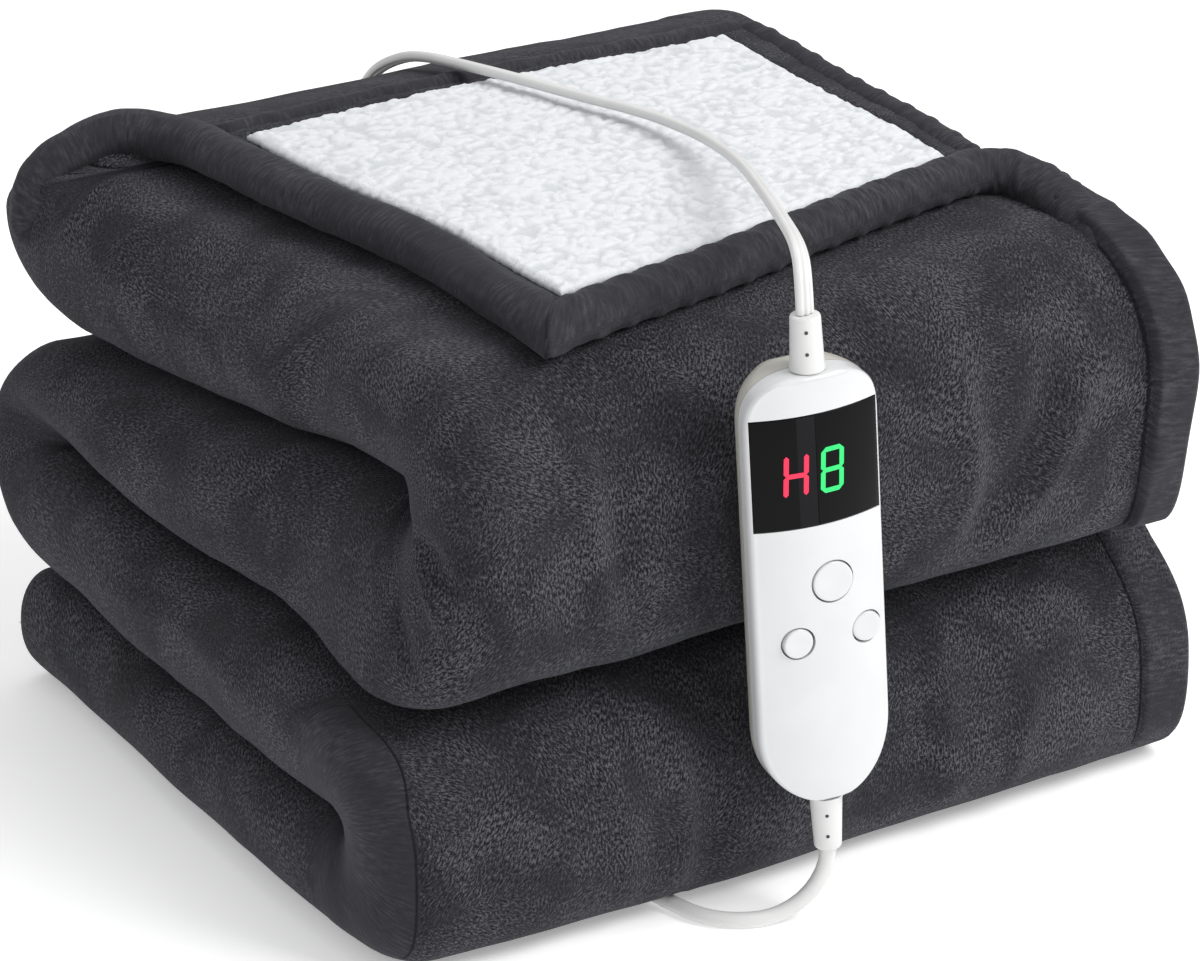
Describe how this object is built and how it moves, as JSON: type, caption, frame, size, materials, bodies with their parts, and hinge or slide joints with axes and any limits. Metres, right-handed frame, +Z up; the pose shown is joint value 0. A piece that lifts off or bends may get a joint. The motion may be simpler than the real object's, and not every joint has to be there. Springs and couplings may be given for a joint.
{
  "type": "electric heated blanket",
  "caption": "Folded electric heated throw in dark flannel with a sherpa lining, with its hand controller, lead and coiled mains cord.",
  "frame": {"origin": "middle of the footprint of the folded throw and its controller, on the surface that it lies on", "axes": "+X along the front folds to the right, +Y from the front folds to the back, +Z up"},
  "size_m": [0.3208, 0.42, 0.2369],
  "materials": {
    "flannel": "brushed charcoal flannel",
    "sherpa": "curly white sherpa pile",
    "white_abs": "glossy",
    "grey_abs": "satin",
    "display": "glossy black",
    "pvc": "satin white PVC",
    "blade": "nickel plated"
  },
  "bodies": {
    "throw_and_controller": {"throw_flannel": "flannel", "sherpa_panel": "sherpa", "controller_back": "grey_abs", "controller_front": "white_abs", "display_window": "display", "relief_top": "pvc", "relief_foot": "pvc", "lead": "pvc", "mains_cord": "pvc", "mains_coil": "pvc", "mains_tail": "pvc", "plug_relief": "pvc", "plug_body": "pvc", "plug_blade_left": "blade", "plug_blade_right": "blade"},
    "button_power": {"button_power": "white_abs"},
    "button_left": {"button_left": "white_abs"},
    "button_right": {"button_right": "white_abs"}
  },
  "joints": [
    {"name": "power_press", "type": "slide", "parent": "throw_and_controller", "child": "button_power", "axis": [0.1392, 0.9903, 0], "range_m": [0, 0.0008], "stiffness_N_per_m": 400, "springref_m": -0.0003},
    {"name": "left_press", "type": "slide", "parent": "throw_and_controller", "child": "button_left", "axis": [0.1392, 0.9903, 0], "range_m": [0, 0.0008], "stiffness_N_per_m": 400, "springref_m": -0.0003},
    {"name": "right_press", "type": "slide", "parent": "throw_and_controller", "child": "button_right", "axis": [0.1392, 0.9903, 0], "range_m": [0, 0.0008], "stiffness_N_per_m": 400, "springref_m": -0.0003}
  ]
}
